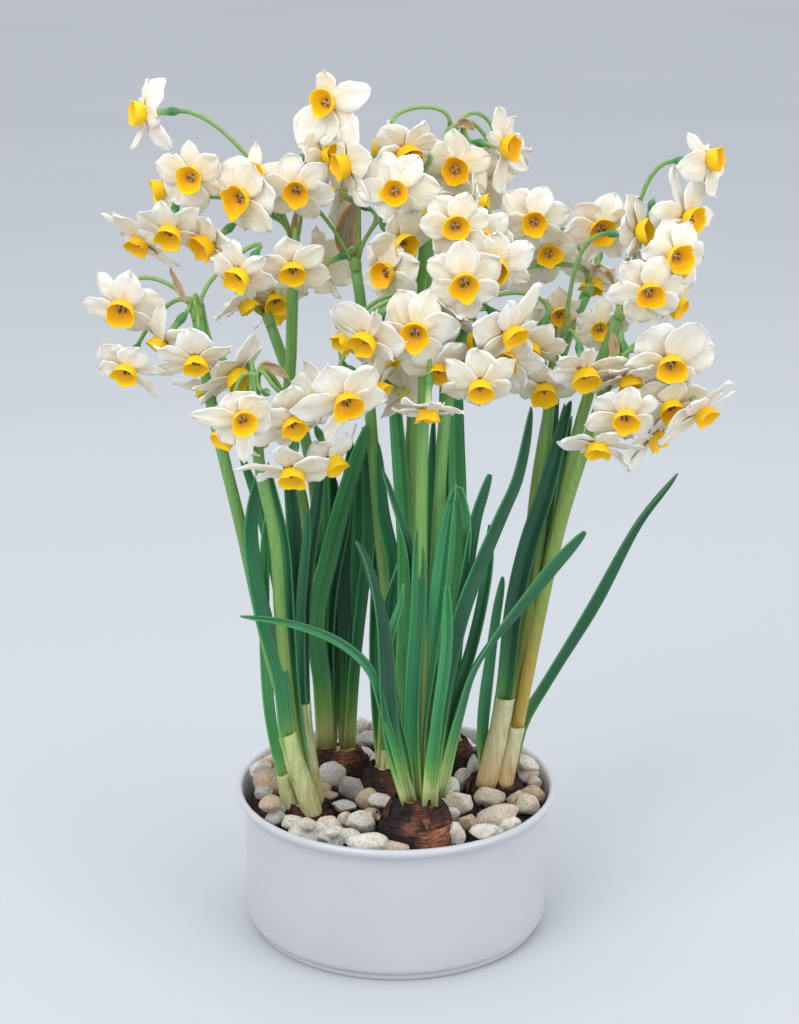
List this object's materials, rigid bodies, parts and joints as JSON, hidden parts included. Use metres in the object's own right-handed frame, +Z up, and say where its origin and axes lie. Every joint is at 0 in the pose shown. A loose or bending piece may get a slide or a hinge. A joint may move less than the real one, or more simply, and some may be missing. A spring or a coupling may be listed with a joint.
{
  "type": "potted chinese sacred lily",
  "caption": "Round white glazed bowl of soil and pebbles with narcissus bulbs, strap leaves and umbels of white blooms with golden cups.",
  "frame": {"origin": "middle of the pot's flat underside, on the table", "axes": "+Z up, the front of the pot at -Y"},
  "size_m": [0.3879, 0.209, 0.5533],
  "materials": {
    "glaze": "smooth white glaze",
    "soil": null,
    "pebble": "matt, water-worn",
    "tunic": "dry papery bulb skin",
    "leaf": null,
    "tepal": null
  },
  "bodies": {
    "root": {"pot": "glaze", "soil": "soil", "pebbles": "pebble", "bulb_front": "tunic", "bulb_left": "tunic", "bulb_back_left": "tunic", "bulb_middle": "tunic", "bulb_right": "tunic", "bulb_back_right": "tunic", "leaves_front": "leaf", "leaves_left": "leaf", "leaves_back_left": "leaf", "leaves_middle": "leaf", "leaves_right": "leaf", "leaves_back_right": "leaf", "umbel_far_left": "tepal", "umbel_low_left": "tepal", "umbel_top_left": "tepal", "umbel_mid_left": "tepal", "umbel_top_middle_left": "tepal", "umbel_top_middle": "tepal", "umbel_upper_middle": "tepal", "umbel_centre": "tepal", "umbel_right_of_centre": "tepal", "umbel_upper_right": "tepal", "umbel_mid_right": "tepal", "umbel_far_right": "tepal", "umbel_low_right": "tepal"}
  },
  "joints": []
}
